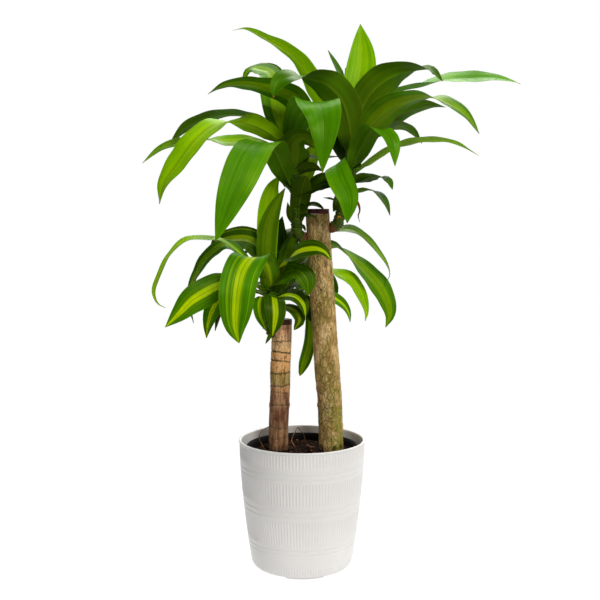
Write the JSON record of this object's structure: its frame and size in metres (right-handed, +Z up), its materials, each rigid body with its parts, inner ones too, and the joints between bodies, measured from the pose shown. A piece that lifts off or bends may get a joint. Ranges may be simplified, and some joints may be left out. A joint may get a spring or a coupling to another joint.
{
  "type": "potted corn plant",
  "caption": "House plant with arching strap leaves on shoots from bare upright canes, rooted in a pot of soil inside a fluted round planter with low feet, standing on a floor.",
  "frame": {"origin": "middle of the plant's footprint, at the height of the floor; the planter's axis is 54 mm to the left of it, because the longest leaves reach out to the right", "axes": "+Z up along the canes, which is the longest side; +X to the right and -Y towards the viewer in the picture's view"},
  "size_m": [0.6685, 0.3293, 0.951],
  "materials": {
    "planter_plastic": "satin",
    "pot_plastic": "matte",
    "potting_soil": "matte",
    "bark_tan": "matte",
    "bark_orange": "matte",
    "cut_wax": "satin",
    "leaf_green": "satin",
    "leaf_striped": "satin"
  },
  "bodies": {
    "root": {"planter": "planter_plastic", "grow_pot": "pot_plastic", "soil": "potting_soil", "cane_tall": "bark_tan", "cane_short": "bark_orange", "wax_tall": "cut_wax", "wax_short": "cut_wax", "shoot_tall_left": "leaf_green", "shoot_tall_right": "leaf_green", "shoot_short_left": "leaf_striped", "shoot_short_right": "leaf_striped"}
  },
  "joints": []
}
